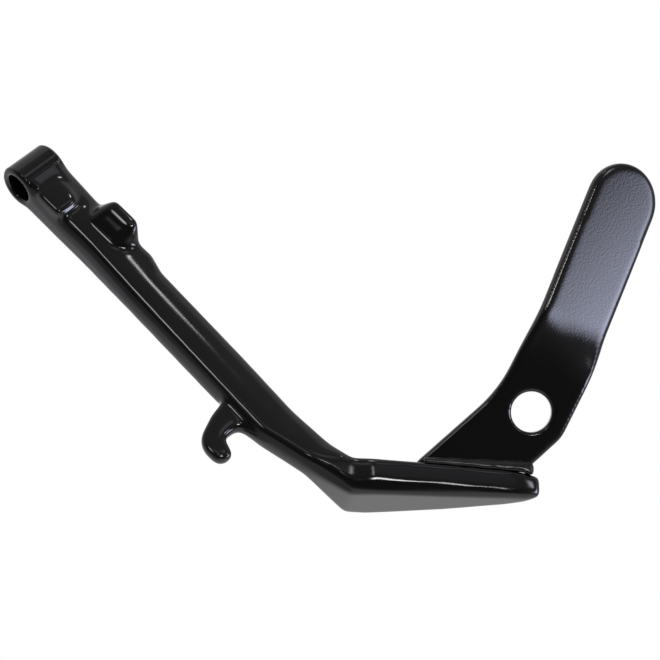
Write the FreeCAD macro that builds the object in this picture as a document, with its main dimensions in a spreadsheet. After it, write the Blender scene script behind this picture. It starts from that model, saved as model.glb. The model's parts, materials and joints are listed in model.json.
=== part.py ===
"""Side stand (kickstand) leg of a heavy motorcycle.

Millimetres, +Z up. The leg is in its deployed stance: the sole of the foot is horizontal.
The origin is the middle of the pivot bore. The leg's own axes are local X down the arm,
local Y from the arm's front face to its back, and local Z along the pivot axis.

Nodes: leg_forging (eye, arm, stop lug, spring hook and foot in one forging), foot_tang (the
bent flat bar that the rider's boot pushes) and the two weld beads that join it to the foot.
"""
import FreeCAD
import Part
import Sketcher
import math
import os

from FreeCAD import Placement, Rotation, Vector

doc = FreeCAD.newDocument("side_stand")
dims = doc.addObject("Spreadsheet::Sheet", "Dims")

# Stations down the arm, in the leg's own axes: distance from the pivot axis, near side, near
# ridge, far ridge and far side along the pivot axis, then front and back faces.
ARM_STATIONS = {
    "root": (2.0, -12.0, -9.6, 8.5, 12.0, -10.6, 10.4),
    "neck": (30.0, -12.0, -7.9, 4.0, 12.0, -7.0, 10.9),
    "shoulder": (47.0, -12.0, -8.4, 0.8, 11.0, -7.0, 10.9),
    "step": (69.5, -13.5, -9.7, -0.3, 11.8, -7.0, 9.0),
    "upper": (80.0, -14.2, -10.3, -0.8, 8.8, -7.0, 8.0),
    "middle": (142.0, -16.6, -13.9, -4.1, 6.6, -7.0, 7.5),
    "hook_root": (176.0, -17.5, -15.6, -5.5, 5.0, -7.0, 7.5),
    "wrist": (200.0, -11.8, -10.0, -3.0, 6.2, -7.2, 8.0),
}
# Stations along the foot, in the stance axes: distance along X, then the top of the front
# face, its lower edge, how far it stands back from the foot's front, and the sole's back edge.
FOOT_STATIONS = {
    "heel": (145.8, -151.7, -164.2, 1.2, -6.4),
    "instep": (155.6, -152.1, -162.9, 0.0, -5.8),
    "ball": (192.0, -154.2, -164.4, 0.0, -15.2),
    "toe": (226.0, -156.3, -166.6, 0.0, -27.4),
}

DRIVING = {
    "leg_yaw": -13.1,
    "leg_pitch": 47.5,
    "leg_roll": -16.6,
    "eye_radius": 10.9,
    "eye_length": 24.0,
    "bore_radius": 7.0,
    "side_round": 3.0,
    "far_bevel_drop": 1.6,
    "far_bevel_width": 2.0,
    "far_bevel_depth": 4.0,
    "near_bevel_drop": 3.6,
    "near_bevel_width": 1.0,
    "near_bevel_depth": 7.0,
    "pad_start": 12.0,
    "pad_end": 27.5,
    "pad_near": -11.2,
    "pad_far": 3.8,
    "pad_front": 10.0,
    "lug_start": 32.5,
    "lug_end": 64.0,
    "lug_near": -7.0,
    "lug_far": 12.8,
    "lug_root": 3.0,
    "lug_top_start": 40.0,
    "lug_top_end": 57.2,
    "lug_top_near": 9.6,
    "lug_top_far": 14.2,
    "lug_front": 14.6,
    "hook_thickness": 6.8,
    "hook_back": 3.4,
    "foot_front": -40.4,
    "sole_level": -168.5,
    "sole_allowance": 0.5,
    "sole_bevel": 3.0,
    "sole_edge_inset": 0.5,
    "sole_edge_drop": 0.8,
    "foot_top_rise": 0.8,
    "foot_crown": 1.0,
    "foot_shoulder": 2.4,
    "foot_back_drop": 2.0,
    "nose_end": 235.0,
    "nose_back": -33.5,
    "nose_inset": 1.8,
    "nose_drop": 0.8,
    "nose_lift": 1.4,
    "nose_round": 1.2,
    "cut_margin": 5.0,
    "tang_hole_x": 229.75,
    "tang_hole_y": -48.6,
    "tang_hole_z": -129.2,
    "tang_yaw": 8.4,
    "tang_pitch": 22.9,
    "tang_roll": 115.4,
    "tang_width": 37.2,
    "tang_thickness": 6.35,
    "tang_hole_radius": 9.6,
    "tang_corner_x": -38.8,
    "tang_corner_y": -47.0,
    "tang_heel_x": 9.6,
    "tang_heel_y": -27.5,
    "tang_knee_left_y": 2.6,
    "tang_knee_right_y": -4.5,
    "tang_knee_inner": 65.0,
    "tang_knee_outer": 10.0,
    "tang_bend_start": 19.0,
    "tang_bend_length": 30.0,
    "tang_sweep": -2.2,
    "tang_twist": 20.2,
    "tang_lean": -14.3,
    "tang_reach": 61.0,
    "tang_slope": 0.435,
    "bead_start": 179.5,
    "bead_end": 231.5,
    "bead_top_first": -152.6,
    "bead_top_last": -156.0,
    "bead_front_toe": -40.2,
    "bead_front_corner": -37.2,
    "bead_rear_toe": -26.5,
    "bead_rear_corner": -30.3,
    "rear_bead_end": 221.0,
    "bead_sink": 1.5,
    "bead_toe_height": 0.3,
    "bead_bulge": 0.5,
    "bead_overlap": 2.0,
    "front_rise_first": 2.8,
    "front_rise_last": 5.9,
    "rear_rise": 4.0,
}


def fill_sheet():
    """Write every driving dimension to its own cell, with the word that names it."""
    rows = dict(DRIVING)
    arm_words = ("at", "near", "ridge_near", "ridge_far", "far", "front", "back")
    foot_words = ("at", "top", "lower_edge", "setback", "back")
    for name, values in ARM_STATIONS.items():
        rows.update({f"{name}_{word}": value for word, value in zip(arm_words, values)})
    for name, values in FOOT_STATIONS.items():
        rows.update({f"{name}_{word}": value for word, value in zip(foot_words, values)})
    for line, (word, value) in enumerate(rows.items(), start=1):
        dims.set(f"A{line}", word)
        dims.set(f"B{line}", str(value))
        dims.setAlias(f"B{line}", word)
    doc.recompute()


def size(word):
    """Value of one driving dimension."""
    return float(dims.get(word))


def new_body(label, placement):
    """PartDesign body in the document, with its own label and place."""
    body = doc.addObject("PartDesign::Body", label + "_body")
    body.Label = label
    body.Placement = placement
    return body


def plane_of(body, role):
    """Origin plane of a body, found by its role."""
    return next(item for item in body.Origin.OriginFeatures if item.Role == role)


def new_sketch(body, name, support, offset, lift=None):
    """Sketch on a plane of the body; lift is the expression that moves it off the plane."""
    sketch = body.newObject("Sketcher::SketchObject", name)
    sketch.AttachmentSupport = (support, [""])
    sketch.MapMode = "FlatFace"
    sketch.AttachmentOffset = offset
    if lift:
        sketch.setExpression("AttachmentOffset.Base.z", lift)
    return sketch


def polygon(sketch, corners):
    """Closed polygon whose corners are bound to the sheet, each as a pair of expressions."""
    count = len(corners)
    turns = [2 * math.pi * i / count for i in range(count)]
    start = [Vector(10 * math.cos(turn), 10 * math.sin(turn), 0) for turn in turns]
    for i in range(count):
        sketch.addGeometry(Part.LineSegment(start[i], start[(i + 1) % count]))
    for i in range(count):
        sketch.addConstraint(Sketcher.Constraint("Coincident", i, 2, (i + 1) % count, 1))
    for i, (across, up) in enumerate(corners):
        sides = (("DistanceX", start[i].x, across), ("DistanceY", start[i].y, up))
        for kind, value, expression in sides:
            index = sketch.addConstraint(Sketcher.Constraint(kind, -1, 1, i, 1, value))
            sketch.setExpression(f"Constraints[{index}]", expression)


def rounded_outline(sketch, corners):
    """Closed outline of straight runs joined by tangent arcs; corners are (x, y, radius)."""
    count = len(corners)
    joints = []
    for i, (x, y, radius) in enumerate(corners):
        here = Vector(x, y, 0)
        back = (Vector(*corners[i - 1][:2], 0) - here).normalize()
        ahead = (Vector(*corners[(i + 1) % count][:2], 0) - here).normalize()
        half = back.getAngle(ahead) / 2
        run = radius / math.tan(half)
        bisector = (back + ahead).normalize()
        middle = here + bisector * (radius / math.sin(half) - radius)
        joints.append((here + back * run, middle, here + ahead * run))
    for i, (first, middle, last) in enumerate(joints):
        if corners[i][2]:
            sketch.addGeometry(Part.Arc(first, middle, last))
        sketch.addGeometry(Part.LineSegment(last, joints[(i + 1) % count][0]))


def new_loft(body, name, sections, ruled=True):
    """Loft through closed sections with the same number of corners."""
    loft = body.newObject("PartDesign::AdditiveLoft", name)
    loft.Profile = sections[0]
    loft.Sections = sections[1:]
    loft.Ruled = ruled
    return loft


def new_pad(body, name, sketch, length):
    """Pad of a sketch; length is an expression."""
    pad = body.newObject("PartDesign::Pad", name)
    pad.Profile = sketch
    pad.setExpression("Length", length)
    return pad


def arm_section(body, name):
    """Ten-cornered section of the arm: a flat front between two bevels, rounded sides."""
    sketch = new_sketch(body, f"{name}_section", plane_of(body, "YZ_Plane"), Placement(),
                        f"Dims.{name}_at")
    near, far, front, back = (f"Dims.{name}_{word}" for word in ("near", "far", "front", "back"))
    polygon(sketch, [
        (front, f"Dims.{name}_ridge_near"),
        (front, f"Dims.{name}_ridge_far"),
        (f"{front} + Dims.far_bevel_drop", f"{far} - Dims.far_bevel_width"),
        (f"{front} + Dims.far_bevel_depth", far),
        (f"{back} - Dims.side_round", far),
        (back, f"{far} - Dims.side_round"),
        (back, f"{near} + Dims.side_round"),
        (f"{back} - Dims.side_round", near),
        (f"{front} + Dims.near_bevel_depth", near),
        (f"{front} + Dims.near_bevel_drop", f"{near} + Dims.near_bevel_width"),
    ])
    return sketch


def foot_section(body, name, stance):
    """Ten-cornered section of the foot, its corners in the same order as the arm's."""
    sketch = new_sketch(body, f"{name}_section", stance, Placement(), f"Dims.{name}_at")
    top, edge, back = (f"Dims.{name}_{word}" for word in ("top", "lower_edge", "back"))
    front = f"Dims.foot_front + Dims.{name}_setback"
    sole = "Dims.sole_level - Dims.sole_allowance"
    polygon(sketch, [
        (front, edge),
        (front, top),
        (f"{front} + Dims.foot_top_rise", f"{top} + Dims.foot_top_rise"),
        (f"{front} + Dims.foot_shoulder", f"{top} + Dims.foot_crown"),
        (f"{back} - Dims.side_round", f"{top} + Dims.foot_crown"),
        (back, f"{top} - Dims.foot_back_drop"),
        (back, "Dims.sole_level + Dims.side_round"),
        (f"{back} - Dims.foot_back_drop", sole),
        (f"{front} + Dims.sole_bevel", sole),
        (f"{front} + Dims.sole_edge_inset", f"{edge} - Dims.sole_edge_drop"),
    ])
    return sketch


def nose_section(body, stance):
    """Small end section that closes the foot's rounded nose."""
    sketch = new_sketch(body, "nose_section", stance, Placement(), "Dims.nose_end")
    front, back = "Dims.foot_front + Dims.nose_inset", "Dims.nose_back"
    top, sole = "Dims.toe_top - Dims.nose_drop", "Dims.sole_level + Dims.nose_lift"
    polygon(sketch, [
        (front, f"{sole} + Dims.nose_round"),
        (front, f"{top} - Dims.nose_round"),
        (f"{front} + 0.3 * Dims.nose_round", f"{top} - 0.3 * Dims.nose_round"),
        (f"{front} + Dims.nose_round", top),
        (f"{back} - Dims.nose_round", top),
        (back, f"{top} - Dims.nose_round"),
        (back, f"{sole} + Dims.nose_round"),
        (f"{back} - Dims.nose_round", sole),
        (f"{front} + Dims.nose_round", sole),
        (f"{front} + 0.3 * Dims.nose_round", f"{sole} + 0.3 * Dims.nose_round"),
    ])
    return sketch


def build_leg():
    """The forging: eye, arm, pad, stop lug, spring hook and foot."""
    stance = Rotation(size("leg_yaw"), size("leg_pitch"), size("leg_roll"))
    body = new_body("leg_forging", Placement(Vector(), stance))
    pivot_plane = plane_of(body, "XY_Plane")
    front_plane = plane_of(body, "XZ_Plane")

    eye = new_sketch(body, "eye_outline", pivot_plane, Placement(), "-Dims.eye_length / 2")
    centred_circle(eye, "Dims.eye_radius")
    new_pad(body, "eye", eye, "Dims.eye_length")

    # The datum plane turns the leg's own section plane upright, square to the stance X axis.
    upright = body.newObject("PartDesign::Plane", "stance_plane")
    upright.AttachmentSupport = (plane_of(body, "YZ_Plane"), [""])
    upright.MapMode = "FlatFace"
    section_turn = Rotation(Vector(0, 1, 0), Vector(0, 0, 1), Vector(1, 0, 0), "ZXY")
    upright.AttachmentOffset = Placement(
        Vector(), section_turn.inverted() * stance.inverted() * section_turn)

    sections = [arm_section(body, name) for name in ARM_STATIONS]
    sections += [foot_section(body, name, upright) for name in FOOT_STATIONS]
    sections.append(nose_section(body, upright))
    new_loft(body, "arm_and_foot", sections)

    # The sole is ground flat: everything below its level comes off in one plane.
    ground = new_sketch(body, "ground_outline", upright, Placement(), "Dims.nose_end + 1")
    polygon(ground, [
        ("Dims.foot_front - Dims.cut_margin", "Dims.sole_level - Dims.cut_margin"),
        ("Dims.heel_back + Dims.cut_margin", "Dims.sole_level - Dims.cut_margin"),
        ("Dims.heel_back + Dims.cut_margin", "Dims.sole_level"),
        ("Dims.foot_front - Dims.cut_margin", "Dims.sole_level"),
    ])
    grind = body.newObject("PartDesign::Pocket", "flat_sole")
    grind.Profile = ground
    grind.setExpression("Length", "Dims.nose_end - Dims.heel_at + 8 * Dims.cut_margin")

    pad = new_sketch(body, "pad_outline", front_plane, Placement())
    polygon(pad, [
        ("Dims.pad_start", "Dims.pad_near"),
        ("Dims.pad_end", "Dims.pad_near"),
        ("Dims.pad_end", "Dims.pad_far - 3"),
        ("Dims.pad_end - 3", "Dims.pad_far - 0.8"),
        ("Dims.pad_start + 6", "Dims.pad_far"),
        ("Dims.pad_start", "Dims.pad_far - 2"),
    ])
    new_pad(body, "raised_pad", pad, "Dims.pad_front")

    # The lug: its root is sunk in the arm, and its flanks slope up to a narrow crest.
    base = new_sketch(body, "lug_base", front_plane, Placement(), "Dims.lug_root")
    polygon(base, [
        ("Dims.lug_start", "Dims.lug_near + 3"),
        ("Dims.lug_start + 3", "Dims.lug_near"),
        ("Dims.lug_end - 7", "Dims.lug_near"),
        ("Dims.lug_end - 0.6", "Dims.lug_near + 7"),
        ("Dims.lug_end", "Dims.lug_near + 9"),
        ("Dims.lug_end - 0.6", "Dims.lug_far - 3.6"),
        ("Dims.lug_end - 4.5", "Dims.lug_far - 0.6"),
        ("Dims.lug_start + 1.3", "Dims.lug_far"),
        ("Dims.lug_start - 0.8", "Dims.lug_far - 5"),
    ])
    crest = new_sketch(body, "lug_crest", front_plane, Placement(), "Dims.lug_front")
    polygon(crest, [
        ("Dims.lug_top_start", "Dims.lug_top_near + 1"),
        ("Dims.lug_top_start + 1", "Dims.lug_top_near"),
        ("Dims.lug_top_end - 2", "Dims.lug_top_near"),
        ("Dims.lug_top_end - 0.4", "Dims.lug_top_near + 0.6"),
        ("Dims.lug_top_end", "Dims.lug_top_near + 2"),
        ("Dims.lug_top_end", "Dims.lug_top_far - 2"),
        ("Dims.lug_top_end - 2", "Dims.lug_top_far"),
        ("Dims.lug_top_start + 1", "Dims.lug_top_far"),
        ("Dims.lug_top_start", "Dims.lug_top_far - 1"),
    ])
    new_loft(body, "stop_lug", [base, crest])

    hook = new_sketch(body, "hook_outline", front_plane, Placement(), "-Dims.hook_back")
    rounded_outline(hook, [
        (149.0, -12.0, 0),
        (149.8, -17.0, 4.0),
        (151.6, -25.2, 12.0),
        (158.9, -41.7, 11.0),
        (174.4, -41.7, 5.0),
        (175.4, -32.9, 3.2),
        (165.0, -29.6, 2.8),
        (165.6, -20.6, 3.2),
        (179.6, -17.2, 6.0),
        (184.5, -10.0, 0),
    ])
    new_pad(body, "spring_hook", hook, "Dims.hook_thickness")

    bore = new_sketch(body, "bore_outline", pivot_plane, Placement(), "Dims.eye_length / 2 + 1")
    centred_circle(bore, "Dims.bore_radius")
    pocket = body.newObject("PartDesign::Pocket", "pivot_bore")
    pocket.Profile = bore
    pocket.setExpression("Length", "Dims.eye_length + 2")
    return body


def centred_circle(sketch, radius):
    """Circle about the sketch's origin; radius is an expression."""
    sketch.addGeometry(Part.Circle(Vector(), Vector(0, 0, 1), 5))
    sketch.addConstraint(Sketcher.Constraint("Coincident", 0, 3, -1, 1))
    index = sketch.addConstraint(Sketcher.Constraint("Radius", 0, 5))
    sketch.setExpression(f"Constraints[{index}]", radius)


def build_tang():
    """The boot tang: a flat bar with a knee in its own plane, then a bend with some twist."""
    turn = Rotation(size("tang_yaw"), size("tang_pitch"), size("tang_roll"))
    place = Vector(size("tang_hole_x"), size("tang_hole_y"), size("tang_hole_z"))
    body = new_body("foot_tang", Placement(place, turn))
    face_plane = plane_of(body, "XY_Plane")
    cross_plane = plane_of(body, "XZ_Plane")
    half, thick = size("tang_width") / 2, size("tang_thickness")
    bend_start, bend_length = size("tang_bend_start"), size("tang_bend_length")

    lower = new_sketch(body, "lower_outline", face_plane, Placement(), "-Dims.tang_thickness")
    rounded_outline(lower, [
        (size("tang_corner_x"), size("tang_corner_y"), 0),
        (size("tang_heel_x"), size("tang_heel_y"), 0),
        (half, size("tang_knee_right_y"), size("tang_knee_outer")),
        (half, bend_start, 0),
        (-half, bend_start, 0),
        (-half, size("tang_knee_left_y"), size("tang_knee_inner")),
    ])
    new_pad(body, "lower_blade", lower, "Dims.tang_thickness")

    # The bend: the bar's section turns evenly from the lower blade's plane to the upper's.
    section_turn = Rotation(Vector(1, 0, 0), 90)
    top_turn = Rotation(size("tang_sweep"), size("tang_twist"), size("tang_lean"))
    steps = 6
    centre = Vector(0, bend_start, -thick / 2)
    sections = []
    for step in range(steps + 1):
        share = step / steps
        ease = share * share * (3 - 2 * share)
        turn_here = Rotation().slerp(top_turn, ease)
        if step:
            centre = centre + turn_here.multVec(Vector(0, bend_length / steps, 0))
        offset = section_turn.inverted() * turn_here * section_turn
        place_here = Placement(section_turn.inverted().multVec(centre), offset)
        section = new_sketch(body, f"bend_section_{step}", cross_plane, place_here)
        polygon(section, [
            ("-Dims.tang_width / 2", "-Dims.tang_thickness / 2"),
            ("Dims.tang_width / 2", "-Dims.tang_thickness / 2"),
            ("Dims.tang_width / 2", "Dims.tang_thickness / 2"),
            ("-Dims.tang_width / 2", "Dims.tang_thickness / 2"),
        ])
        sections.append(section)
    new_loft(body, "bend", sections, ruled=False)

    low_corner = centre + top_turn.multVec(Vector(0, 0, -thick / 2))
    upper = new_sketch(body, "upper_outline", face_plane, Placement(low_corner, top_turn))
    reach = size("tang_reach")
    upper.addGeometry(Part.LineSegment(Vector(-half, 0, 0), Vector(half, 0, 0)))
    upper.addGeometry(Part.LineSegment(Vector(half, 0, 0), Vector(half, reach, 0)))
    tip = Part.Arc(Vector(half, reach, 0), Vector(0, reach + half, 0), Vector(-half, reach, 0))
    upper.addGeometry(tip)
    upper.addGeometry(Part.LineSegment(Vector(-half, reach, 0), Vector(-half, 0, 0)))
    new_pad(body, "upper_blade", upper, "Dims.tang_thickness")

    hole = new_sketch(body, "hole_outline", face_plane, Placement(), "1")
    centred_circle(hole, "Dims.tang_hole_radius")
    pocket = body.newObject("PartDesign::Pocket", "tang_hole")
    pocket.Profile = hole
    pocket.setExpression("Length", "Dims.tang_thickness + 2")
    return body


def bead_section(body, name, at, side, top, rise):
    """Section of a weld bead across the foot: toe on the foot's top, rise up the tang."""
    toe, corner = f"Dims.bead_{side}_toe", f"Dims.bead_{side}_corner"
    crest = f"{corner} - Dims.tang_slope * {rise}"
    inward = f"({corner} - {toe}) / abs({corner} - {toe})"
    sketch = new_sketch(body, name, plane_of(body, "YZ_Plane"), Placement(), at)
    polygon(sketch, [
        (toe, f"{top} - Dims.bead_sink"),
        (toe, f"{top} + Dims.bead_toe_height"),
        (f"({toe} + {crest}) / 2 - {inward} * Dims.bead_toe_height",
         f"{top} + {rise} / 2 + Dims.bead_bulge"),
        (crest, f"{top} + {rise}"),
        (f"{crest} + {inward} * Dims.bead_overlap", f"{top} + {rise}"),
        (f"{corner} + {inward} * Dims.bead_overlap", f"{top} - Dims.bead_sink"),
    ])
    return sketch


def build_bead(label, side, end, rise_first, rise_last):
    """Fillet weld along the foot between its top face and the front or rear face of the tang."""
    body = new_body(label, Placement())
    first = bead_section(body, label + "_first", "Dims.bead_start", side,
                         "Dims.bead_top_first", rise_first)
    last = bead_section(body, label + "_last", end, side, "Dims.bead_top_last", rise_last)
    new_loft(body, label + "_run", [first, last])
    return body


def trimmed(label, base, tools):
    """Node made of a body less the pieces that it sits against."""
    for number, tool in enumerate(tools, start=1):
        cut = doc.addObject("Part::Cut", f"{label}_trim_{number}")
        cut.Base = base
        cut.Tool = tool
        base = cut
    base.Label = label
    return base


def check(nodes):
    """Stop if any object failed, or if a node's shape is empty or not valid."""
    for item in doc.Objects:
        if "Invalid" in item.State or "Error" in item.State:
            raise RuntimeError(f"{item.Name} failed: {item.State}")
    for label, node in nodes.items():
        if node.Shape.isNull() or not node.Shape.isValid():
            raise RuntimeError(f"{label} has no valid shape")
        print(label, "solids", len(node.Shape.Solids), "volume", round(node.Shape.Volume))


def main():
    fill_sheet()
    leg = build_leg()
    tang_bar = build_tang()
    tang_bar.Label = "foot_tang_bar"
    front_bead = build_bead("weld_bead_front_run", "front", "Dims.bead_end",
                            "Dims.front_rise_first", "Dims.front_rise_last")
    rear_bead = build_bead("weld_bead_rear_run", "rear", "Dims.rear_bead_end",
                           "Dims.rear_rise", "Dims.rear_rise")
    nodes = {
        "leg_forging": leg,
        "foot_tang": trimmed("foot_tang", tang_bar, [leg]),
        "weld_bead_front": trimmed("weld_bead_front", front_bead, [leg, tang_bar]),
        "weld_bead_rear": trimmed("weld_bead_rear", rear_bead, [leg, tang_bar]),
    }
    doc.recompute()
    check(nodes)
    os.makedirs("parts", exist_ok=True)
    for label, node in nodes.items():
        node.Shape.exportStep(f"parts/{label}.step")


main()
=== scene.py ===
"""Looks of a motorcycle side stand (kickstand) leg in gloss black powder coat.

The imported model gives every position: the leg's and the tang's own axes come from the record's
mounts. Each CAD node is replaced by a finer mesh of the same shape, with forged edges and
fillets, and gets a coat with orange peel. Metres throughout, unless a name or comment says mm.
"""

import json
import math

import bmesh
import bpy
import numpy as np
from mathutils import Matrix, Vector


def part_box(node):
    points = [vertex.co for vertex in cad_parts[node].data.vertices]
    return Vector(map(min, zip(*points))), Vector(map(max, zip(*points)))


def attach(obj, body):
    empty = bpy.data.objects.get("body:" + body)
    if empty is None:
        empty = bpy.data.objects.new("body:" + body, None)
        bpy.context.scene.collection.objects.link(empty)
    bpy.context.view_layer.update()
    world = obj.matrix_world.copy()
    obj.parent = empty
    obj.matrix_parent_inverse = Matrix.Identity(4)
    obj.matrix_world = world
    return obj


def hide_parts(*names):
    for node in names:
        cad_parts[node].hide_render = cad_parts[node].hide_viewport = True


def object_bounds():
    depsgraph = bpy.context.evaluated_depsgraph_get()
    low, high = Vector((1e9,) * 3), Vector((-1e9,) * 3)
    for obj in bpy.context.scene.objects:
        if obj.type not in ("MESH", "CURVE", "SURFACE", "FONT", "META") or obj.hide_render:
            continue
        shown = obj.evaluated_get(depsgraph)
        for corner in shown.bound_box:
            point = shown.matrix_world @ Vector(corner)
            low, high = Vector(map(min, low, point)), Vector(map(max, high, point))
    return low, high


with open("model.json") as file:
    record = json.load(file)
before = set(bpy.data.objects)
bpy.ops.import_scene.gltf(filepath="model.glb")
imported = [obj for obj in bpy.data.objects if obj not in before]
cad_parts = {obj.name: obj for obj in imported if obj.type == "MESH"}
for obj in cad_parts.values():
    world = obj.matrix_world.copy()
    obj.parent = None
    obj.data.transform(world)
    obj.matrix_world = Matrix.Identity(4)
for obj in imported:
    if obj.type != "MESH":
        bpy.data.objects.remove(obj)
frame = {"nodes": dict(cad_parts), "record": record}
cad_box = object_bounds()
MM = 0.001

mounts = {mount["name"]: mount for mount in frame["record"]["mounts"]}


def axis_of(name):
    return np.array(mounts[name]["axis"], float)


def place_of(name):
    return np.array(mounts[name]["pos_m"], float)


def radius_of(name):
    return mounts[name]["dims"]["r_mm"] * MM


# The leg's own axes, one per row: down the arm, front to back, and along the pivot.
LEG_AXES = np.array([axis_of("spring_hook"), -axis_of("stop_lug_face"), axis_of("pivot_bore")])
EYE_RADIUS = 10.9 * MM

# Grid sizes of the finer meshes.
LEG_VOXEL = 0.60 * MM
TANG_VOXEL = 0.55 * MM
BEAD_VOXEL = 0.35 * MM

# The largest share of the way to its neighbours' mean that a vertex goes in one round.
FULL = 0.5

# The camera's own axes in the row frame: right, up and back towards the viewer.
VIEW_RIGHT = Vector((0.9901, -0.1395, -0.0133))
VIEW_UP = Vector((-0.0364, -0.3478, 0.9369))
VIEW_BACK = VIEW_RIGHT.cross(VIEW_UP).normalized()
LENS, SENSOR = 400.0, 36.0
DISTANCE = 3.511


# ---------------------------------------------------------------- meshes

def copied(node, name):
    """New object with a welded copy of a CAD node's mesh."""
    mesh = frame["nodes"][node].data.copy()
    mesh.name = name
    mesh.materials.clear()
    obj = bpy.data.objects.new(name, mesh)
    bpy.context.scene.collection.objects.link(obj)
    bm = bmesh.new()
    bm.from_mesh(mesh)
    bmesh.ops.remove_doubles(bm, verts=bm.verts, dist=2e-6)
    bm.to_mesh(mesh)
    bm.free()
    return obj


def apply_modifiers(obj):
    graph = bpy.context.evaluated_depsgraph_get()
    graph.update()
    mesh = bpy.data.meshes.new_from_object(obj.evaluated_get(graph))
    obj.modifiers.clear()
    obj.data = mesh


def points_of(mesh):
    co = np.empty(len(mesh.vertices) * 3, np.float32)
    mesh.vertices.foreach_get("co", co)
    return co.reshape(-1, 3).astype(float)


def normals_of(mesh):
    normals = np.empty(len(mesh.vertices) * 3, np.float32)
    mesh.vertex_normals.foreach_get("vector", normals)
    return normals.reshape(-1, 3).astype(float)


def set_points(mesh, co):
    mesh.vertices.foreach_set("co", co.astype(np.float32).ravel())
    mesh.update()


def edges_of(mesh):
    edges = np.empty(len(mesh.edges) * 2, np.int32)
    mesh.edges.foreach_get("vertices", edges)
    return edges.reshape(-1, 2)


def relaxed(mesh, rounds, convex, concave):
    """Smooth the mesh. convex and concave are how strongly bumps are rounded off and hollows
    are filled, each a number or one value per vertex."""
    edges = edges_of(mesh)
    a, b = edges[:, 0], edges[:, 1]
    count = len(mesh.vertices)
    degree = np.maximum(np.bincount(a, minlength=count) + np.bincount(b, minlength=count), 1)
    co = points_of(mesh)
    for turn in range(rounds):
        if turn % 4 == 0:
            set_points(mesh, co)
            normals = normals_of(mesh)
        mean = np.stack([
            (np.bincount(a, co[b, k], count) + np.bincount(b, co[a, k], count)) / degree
            for k in range(3)], axis=1)
        step = mean - co
        outward = (step * normals).sum(1) > 0
        share = np.where(outward, concave, convex)
        co += step * share[:, None]
    set_points(mesh, co)


def own_axes(co):
    """Axes of a point cloud, one per row, the longest first."""
    rel = co - co.mean(0)
    values, vectors = np.linalg.eigh(rel.T @ rel)
    axes = vectors.T[::-1]
    axes[2] = np.cross(axes[0], axes[1])
    return axes


def remesh(obj, voxel, axes):
    """Replace the object's mesh with an even quad mesh whose grid runs along the axes, so that
    long edges cross no grid steps. The first grid takes the sharp edges off, and the second then
    meets only rounded ones."""
    set_points(obj.data, points_of(obj.data) @ axes.T)
    for rounds in (10, 0):
        modifier = obj.modifiers.new("remesh", "REMESH")
        modifier.mode = "VOXEL"
        modifier.voxel_size = voxel
        modifier.use_smooth_shade = True
        apply_modifiers(obj)
        relaxed(obj.data, rounds, FULL, FULL)
    set_points(obj.data, points_of(obj.data) @ axes)


def bump(value, start, end, soft):
    """1 between start and end, falling smoothly to 0 over soft on both sides."""
    def rise(x):
        x = np.clip(x, 0, 1)
        return x * x * (3 - 2 * x)
    return rise((value - start) / soft + 1) * rise((end - value) / soft + 1)


def snapped_round(co, centre, axis, radius, reach, within):
    """Put the vertices that lie on a cylinder exactly on it."""
    rel = co - centre
    along = rel @ axis
    radial = rel - along[:, None] * axis
    distance = np.linalg.norm(radial, axis=1)
    on = (np.abs(distance - radius) < reach) & (np.abs(along) < within)
    co[on] += radial[on] * ((radius - distance[on]) / distance[on])[:, None]
    return co


def paint(mesh, name, values):
    """Store one value per vertex for the materials to read."""
    layer = mesh.attributes.new(name, "FLOAT", "POINT")
    layer.data.foreach_set("value", np.asarray(values, np.float32))


# ---------------------------------------------------------------- shader nodes

def math_node(tree, operation, *values):
    """Output of a math node. Each value is a number or another node's output."""
    node = tree.nodes.new("ShaderNodeMath")
    node.operation = operation
    for socket, value in zip(node.inputs, values):
        if isinstance(value, (int, float)):
            socket.default_value = value
        else:
            tree.links.new(value, socket)
    return node.outputs[0]


def range_node(tree, source, limits, to_limits, kind="LINEAR"):
    """Output that goes from one of to_limits to the other as source passes from limit to limit."""
    node = tree.nodes.new("ShaderNodeMapRange")
    node.interpolation_type = kind
    for index, value in enumerate((*limits, *to_limits), start=1):
        node.inputs[index].default_value = value
    tree.links.new(source, node.inputs[0])
    return node.outputs[0]


def new_material(name):
    mat = bpy.data.materials.new(name)
    mat.use_nodes = True
    return mat, mat.node_tree.nodes["Principled BSDF"]


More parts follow.
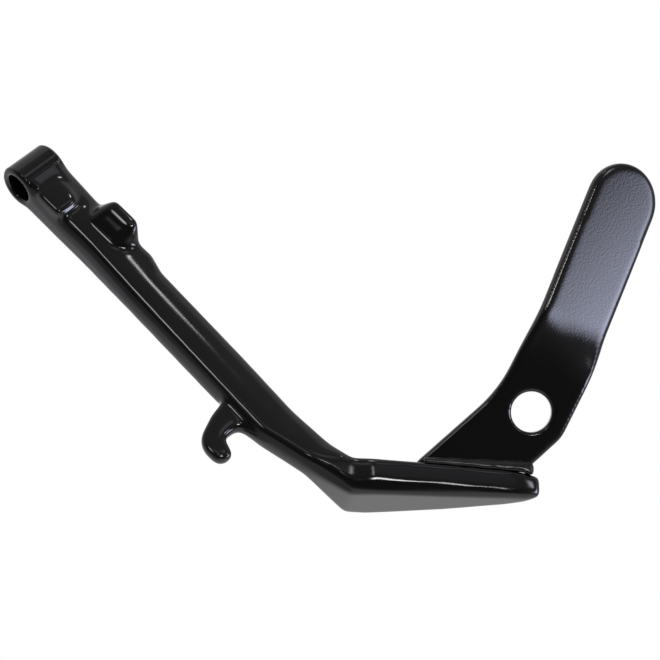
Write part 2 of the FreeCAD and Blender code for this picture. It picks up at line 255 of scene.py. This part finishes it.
def powder_coat(name, peel_size, peel, roughness):
    """Gloss black coat: orange peel, a slow change in gloss, a little dust, and fine sparkling
    grain where the mesh attribute "grain" says so."""
    mat, shader = new_material(name)
    tree = mat.node_tree
    shader.inputs["IOR"].default_value = 1.5
    coords = tree.nodes.new("ShaderNodeTexCoord")

    def noise(size, detail, rough=0.5):
        tex = tree.nodes.new("ShaderNodeTexNoise")
        tex.inputs["Scale"].default_value = 1 / size
        tex.inputs["Detail"].default_value = detail
        tex.inputs["Roughness"].default_value = rough
        tree.links.new(coords.outputs["Object"], tex.inputs["Vector"])
        return tex.outputs[0]

    attribute = tree.nodes.new("ShaderNodeAttribute")
    attribute.attribute_name = "grain"
    grain = attribute.outputs["Fac"]
    specks = range_node(tree, noise(0.55 * MM, 2, 0.6), (0.74, 0.80), (0.0, 1.0))
    gloss = range_node(tree, noise(22 * MM, 3), (0.3, 0.7), (roughness * 0.8, roughness * 1.25))
    rough = math_node(tree, "MULTIPLY_ADD", specks, 0.25, gloss)
    rough = math_node(tree, "MULTIPLY_ADD", grain, 0.05, rough)
    tree.links.new(rough, shader.inputs["Roughness"])

    tone = tree.nodes.new("ShaderNodeMix")
    tone.data_type = "RGBA"
    tone.inputs[6].default_value = (0.0022, 0.0021, 0.0022, 1)
    tone.inputs[7].default_value = (0.030, 0.029, 0.028, 1)
    tree.links.new(specks, tone.inputs[0])
    tree.links.new(tone.outputs[2], shader.inputs["Base Color"])

    peel_height = math_node(tree, "MULTIPLY", noise(peel_size, 1.5), peel)
    grain_height = math_node(tree, "MULTIPLY", noise(0.5 * MM, 2, 0.6), 0.012 * MM)
    height = math_node(tree, "MULTIPLY_ADD", grain, grain_height, peel_height)
    relief = tree.nodes.new("ShaderNodeBump")
    relief.inputs["Strength"].default_value = 1.0
    relief.inputs["Distance"].default_value = 1.0
    tree.links.new(height, relief.inputs["Height"])
    tree.links.new(relief.outputs[0], shader.inputs["Normal"])
    return mat


# ---------------------------------------------------------------- pieces

def finish_piece(obj, material, node):
    """Give a piece its last subdivision and its coat, attach it to the root body, and hide its CAD
    node.
    """
    obj.modifiers.new("smooth", "SUBSURF").levels = 1
    apply_modifiers(obj)
    obj.data.materials.clear()
    obj.data.materials.append(material)
    obj.data.shade_smooth()
    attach(obj, "root")
    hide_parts(node)


def build_leg():
    """Forging: sharp CAD edges become forged ones, with wide fillets round the lug and hook."""
    leg = copied("leg_forging", "forged_leg")
    remesh(leg, LEG_VOXEL, LEG_AXES)
    mesh = leg.data
    co = points_of(mesh)
    down, back, across = (co @ LEG_AXES.T).T / MM
    front = back < 0

    # The lug's near flank is slightly crowned.
    crown, crown_middle, crown_half = 0.6 * MM, 4.2, 5.5
    flank = np.clip(1 - ((across - crown_middle) / crown_half) ** 2, 0, 1) * (back < -8) \
        * bump(down, 40, 57, 5)
    co += normals_of(mesh) * (crown * flank)[:, None]
    set_points(mesh, co)

    # Zones of the forging, 1 inside and 0 outside. Limits and soft borders are in mm.
    lug = bump(down, 34, 64, 7) * bump(across, -7, 16, 5) * bump(back, -16, -4, 3)
    pad = bump(down, 12, 38, 4) * (back < -2)
    hook = bump(down, 145, 184, 6) * bump(across, -45, -19, 4)
    hook_root = bump(down, 140, 190, 8) * bump(across, -28, -14, 6)
    ankle = bump(down, 192, 222, 14)
    nose = bump(co[:, 0] / MM, 226, 240, 8)
    near_crease = bump(down, 40, 226, 10) * bump(across, -24, -6, 3) * front
    crest = bump(down, 64, 190, 26) * bump(across, -9, 4, 3) * front

    both = 0.40 * near_crease + 0.45 * crest + 0.45 * nose + 0.12 * pad
    convex = 0.14 * lug + 0.32 * hook + 0.25 * ankle + both
    concave = 0.32 * lug + 0.5 * hook_root + 0.5 * ankle + 0.3 * hook + both
    relaxed(mesh, 12, FULL, FULL)
    relaxed(mesh, 38, np.clip(convex, 0, FULL), np.clip(concave, 0, FULL))
    relaxed(mesh, 4, 0.4, 0.4)

    # The bore and the eye stay true cylinders between their rounded ends.
    pivot = LEG_AXES[2]
    straight = mounts["pivot_bore"]["dims"]["length_mm"] * MM / 2 - 1.5 * MM
    co = points_of(mesh)
    for radius in (radius_of("pivot_bore"), EYE_RADIUS):
        co = snapped_round(co, np.zeros(3), pivot, radius, 0.35 * MM, straight)
    set_points(mesh, co)

    # Coarse grain along the crest, which leans a little across the arm.
    down, back, across = (co @ LEG_AXES.T).T / MM
    ridge = across - (2.9 - 0.046 * down)
    ridge_half = 0.9
    paint(mesh, "grain", bump(down, 66, 110, 26) * np.exp(-(ridge / ridge_half) ** 2) * (back < 0))
    finish_piece(leg, powder_coat("gloss_coat_forged", 1.3 * MM, 0.006 * MM, 0.08),
                 "leg_forging")


def build_tang():
    """Bent flat bar. Its edges are well rounded, and the hole's are only broken."""
    tang = copied("foot_tang", "boot_tang")
    co = points_of(tang.data)
    blade = co[co[:, 2] > co[:, 2].mean() + 0.1 * np.ptp(co[:, 2])]
    remesh(tang, TANG_VOXEL, own_axes(blade))
    mesh = tang.data
    relaxed(mesh, 12, FULL, FULL)
    hole, centre = radius_of("tang_hole"), place_of("tang_hole")
    away = np.linalg.norm(points_of(mesh) - centre, axis=1) > hole + 4 * MM
    relaxed(mesh, 22, FULL * away, FULL * away)
    co = snapped_round(points_of(mesh), centre, axis_of("tang_hole"), hole, 0.35 * MM, 2.0 * MM)
    set_points(mesh, co)
    finish_piece(tang, powder_coat("gloss_coat_tang", 1.0 * MM, 0.027 * MM, 0.12),
                 "foot_tang")


def build_bead(node, name):
    """Weld bead with a faint ripple for each step of the torch and a slower waver."""
    bead = copied(node, name)
    remesh(bead, BEAD_VOXEL, own_axes(points_of(bead.data)))
    mesh = bead.data
    relaxed(mesh, 32, FULL, FULL)
    co = points_of(mesh)
    along, height = co[:, 0], co[:, 2] - co[:, 2].min()
    ripple = np.sin((along / (4.6 * MM) + (height / (6 * MM)) ** 2) * 2 * math.pi)
    waver = np.sin(along / (13 * MM) * 2 * math.pi + 1.3)
    # Smoothing has shrunk the bead, so it swells here, and ends fuller than its CAD node.
    swell = 0.45 * MM + 0.01 * MM * ripple + 0.05 * MM * waver
    set_points(mesh, co + normals_of(mesh) * swell[:, None])
    relaxed(mesh, 3, 0.4, 0.4)
    finish_piece(bead, powder_coat(name + "_coat", 1.2 * MM, 0.003 * MM, 0.20), node)


build_leg()
build_tang()
build_bead("weld_bead_front", "weld_front")
build_bead("weld_bead_rear", "weld_rear")


# ---------------------------------------------------------------- studio

low, high = cad_box
middle = (low + high) / 2
DOME_RADIUS = 2.2


def in_view(right, up, back):
    """Row-frame vector from amounts to the camera's right, up and back."""
    return VIEW_RIGHT * right + VIEW_UP * up + VIEW_BACK * back


def turned(right, up, back):
    """Rotation that takes the X, Y and Z axes to the three directions."""
    return Matrix((right, up, back)).transposed().to_4x4()


def reflected_only(obj):
    """A studio card that gloss reflects, and that no other ray meets."""
    obj.visible_camera = False
    obj.visible_diffuse = False
    obj.visible_shadow = False
    obj.visible_transmission = False
    obj.visible_volume_scatter = False


def build_world():
    world = bpy.data.worlds.new("studio_white")
    bpy.context.scene.world = world
    world.use_nodes = True
    ground = world.node_tree.nodes["Background"]
    ground.inputs["Color"].default_value = (1, 1, 1, 1)
    ground.inputs["Strength"].default_value = 1.0


def build_floor():
    bpy.ops.mesh.primitive_circle_add(vertices=96, radius=14, fill_type="NGON",
                                      location=(middle.x, middle.y, -2.6))
    floor = bpy.context.object
    floor.name = "studio_floor"
    mat, shader = new_material("pale_floor")
    shader.inputs["Base Color"].default_value = (0.93, 0.93, 0.93, 1)
    shader.inputs["Roughness"].default_value = 0.9
    floor.data.materials.append(mat)


def emission_material(name):
    """Material whose only shader is an emission, linked to its output."""
    mat = bpy.data.materials.new(name)
    mat.use_nodes = True
    tree = mat.node_tree
    tree.nodes.clear()
    out = tree.nodes.new("ShaderNodeOutputMaterial")
    emit = tree.nodes.new("ShaderNodeEmission")
    tree.links.new(emit.outputs[0], out.inputs["Surface"])
    return mat, emit


def build_dome():
    """Dark surroundings that the gloss reflects, open at the far side. Its axes are the
    camera's own."""
    bpy.ops.mesh.primitive_uv_sphere_add(segments=96, ring_count=48, radius=DOME_RADIUS)
    dome = bpy.context.object
    dome.name = "dark_flag"
    bm = bmesh.new()
    bm.from_mesh(dome.data)
    bmesh.ops.bisect_plane(bm, geom=bm.verts[:] + bm.edges[:] + bm.faces[:],
                           plane_co=(0, 0, -0.84 * DOME_RADIUS), plane_no=(0, 0, 1), clear_inner=True)
    bm.to_mesh(dome.data)
    bm.free()
    dome.matrix_world = Matrix.Translation(middle) @ turned(VIEW_RIGHT, VIEW_UP, VIEW_BACK)
    mat, emit = emission_material("dark_flag")
    tree = mat.node_tree
    coords = tree.nodes.new("ShaderNodeTexCoord")
    direction = tree.nodes.new("ShaderNodeVectorMath")
    direction.operation = "NORMALIZE"
    tree.links.new(coords.outputs["Object"], direction.inputs[0])
    split = tree.nodes.new("ShaderNodeSeparateXYZ")
    tree.links.new(direction.outputs[0], split.inputs[0])

    # Darker towards the camera: (cosine of the angle from it, brightness).
    stops = ((0.0, 0.68), (0.10, 0.32), (0.45, 0.26), (0.70, 0.22), (0.88, 0.11), (1.0, 0.055))
    ramp = tree.nodes.new("ShaderNodeValToRGB")
    elements = ramp.color_ramp.elements
    while len(elements) < len(stops):
        elements.new(0.5)
    for element, (at, value) in zip(elements, stops):
        element.position = at
        element.color = (value, value, value * 1.05, 1)
    tree.links.new(split.outputs["Z"], ramp.inputs[0])

    def blended(source, limits, first, second):
        """Colour that goes softly from first to second as source passes from limit to limit."""
        mix = tree.nodes.new("ShaderNodeMix")
        mix.data_type = "RGBA"
        mix.inputs[7].default_value = second
        tree.links.new(range_node(tree, source, limits, (0.0, 1.0), "SMOOTHSTEP"), mix.inputs[0])
        tree.links.new(first, mix.inputs[6])
        return mix.outputs[2]

    def nearness(way):
        """Cosine of the angle from a direction."""
        node = tree.nodes.new("ShaderNodeVectorMath")
        node.operation = "DOT_PRODUCT"
        node.inputs[1].default_value = way
        tree.links.new(direction.outputs[0], node.inputs[0])
        return node.outputs["Value"]

    # A darker patch up to the left, the pale floor sweep below, and its shaded left end.
    dark_patch, sweep, shaded = (0.08, 0.08, 0.084, 1), (1.00, 0.98, 0.97, 1), (0.46, 0.455, 0.45, 1)
    color = blended(nearness((-0.60, 0.20, 0.775)), (0.86, 0.94), ramp.outputs[0], dark_patch)
    color = blended(split.outputs["Y"], (-0.35, -0.80), color, sweep)
    color = blended(nearness((-0.69, -0.66, 0.30)), (0.86, 0.97), color, shaded)
    tree.links.new(color, emit.inputs["Color"])
    mat.cycles.emission_sampling = "NONE"
    dome.data.materials.append(mat)
    reflected_only(dome)


def card(name, place, aim, size, color, strength, edge, slope=(0, 0), top=100.0):
    """Soft card facing aim. It fades out towards its rim over edge, a share of its half size, and
    its strength changes by slope per metre across and up it, up to top."""
    bpy.ops.mesh.primitive_grid_add(x_subdivisions=1, y_subdivisions=1, size=2)
    obj = bpy.context.object
    obj.name = name
    back = (aim - place).normalized()
    side = VIEW_UP.cross(back).normalized()
    half = (size[0] / 2, size[1] / 2)
    obj.matrix_world = Matrix.Translation(place) @ turned(side, back.cross(side), back) \
        @ Matrix.Diagonal((*half, 1, 1))
    mat, emit = emission_material(name)
    tree = mat.node_tree
    coords = tree.nodes.new("ShaderNodeTexCoord")
    split = tree.nodes.new("ShaderNodeSeparateXYZ")
    tree.links.new(coords.outputs["Object"], split.inputs[0])

    level = math_node(tree, "MULTIPLY_ADD", split.outputs["X"], slope[0] * half[0], strength)
    level = math_node(tree, "MULTIPLY_ADD", split.outputs["Y"], slope[1] * half[1], level)
    level = math_node(tree, "MINIMUM", math_node(tree, "MAXIMUM", level, 0.0), top)
    for output in ("X", "Y"):
        from_middle = math_node(tree, "ABSOLUTE", split.outputs[output])
        fade = range_node(tree, from_middle, (1.0, 1.0 - edge), (0.0, 1.0), "SMOOTHSTEP")
        level = math_node(tree, "MULTIPLY", level, fade)
    emit.inputs["Color"].default_value = (*color, 1)
    tree.links.new(level, emit.inputs["Strength"])
    # The card only adds light, so that the studio behind it still shows.
    clear = tree.nodes.new("ShaderNodeBsdfTransparent")
    both = tree.nodes.new("ShaderNodeAddShader")
    tree.links.new(emit.outputs[0], both.inputs[0])
    tree.links.new(clear.outputs[0], both.inputs[1])
    tree.links.new(both.outputs[0], tree.nodes["Material Output"].inputs["Surface"])
    obj.data.materials.append(mat)
    reflected_only(obj)


def build_cards():
    """The lamps and reflectors, each placed for the face or edge that shows it."""
    warm, cool, blue = (1.0, 0.99, 0.97), (0.95, 0.95, 1.10), (0.86, 0.90, 1.18)
    tang_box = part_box("foot_tang")
    blade = Vector([start + share * (end - start)
                    for start, end, share in zip(*tang_box, (0.775, 0.25, 0.71))])
    crest = in_view(0.047, -0.043, 0.037)
    corner = in_view(0.1605, -0.141, 0.060)
    ankle = in_view(0.141, -0.138, 0.072)

    card("right_softbox", blade + in_view(0.87, -0.08, 0.49) * 0.5, blade, (0.40, 0.58), blue, 7.0,
         0.7, slope=(-68.0, -72.0), top=11.0)
    card("side_card", middle + in_view(0.69, 0.48, 0.54) * 1.9, middle, (0.40, 0.80), cool, 6.5, 0.9)
    card("front_card", middle + in_view(0.27, 0.63, 0.73) * 2, middle, (0.60, 0.40), cool, 0.19, 0.8)
    card("strip_left", middle + in_view(-0.70, 1.06, 1.46), middle, (0.48, 0.46), warm, 8.0, 0.7)
    card("strip_right", middle + in_view(0.39, 0.66, 1.56), middle, (0.44, 0.24), warm, 24.0, 0.6)
    card("crease_lamp", crest + in_view(0.29, 0.91, 0.29) * 0.8, crest, (0.09, 0.09), warm, 17.0, 0.8)
    card("eye_lamp", in_view(0.333, 0.675, 0.486) * 2, Vector(), (0.50, 0.40), cool, 0.7, 0.7)
    card("corner_lamp", corner + in_view(0.13, 0.63, 0.765) * 0.8, corner, (0.045, 0.10), warm, 5.5,
         0.8)
    card("ankle_lamp", ankle + in_view(-0.02, 0.57, 0.82) * 0.8, ankle, (0.09, 0.07), warm, 10.0, 0.8)
    card("ankle_card", middle + in_view(0.04, 0.70, 0.66) * 2, middle, (0.50, 0.50), warm, 0.6, 0.8)
    card("left_strip", middle + in_view(-0.60, 0.27, 0.76) * 2, middle, (0.30, 0.30), warm, 0.6, 0.8)


def build_camera():
    camera = bpy.data.objects.new("camera", bpy.data.cameras.new("camera"))
    bpy.context.scene.collection.objects.link(camera)
    camera.data.lens = LENS
    camera.data.sensor_width = SENSOR
    camera.data.clip_start = 0.05
    camera.data.clip_end = 50
    aim = in_view(0.14106, -0.07384, 0)
    camera.matrix_world = Matrix.Translation(aim + VIEW_BACK * DISTANCE) \
        @ turned(VIEW_RIGHT, VIEW_UP, VIEW_BACK)
    bpy.context.scene.camera = camera
    bpy.context.scene.view_settings.view_transform = "Standard"


build_world()
build_floor()
build_dome()
build_cards()
build_camera()
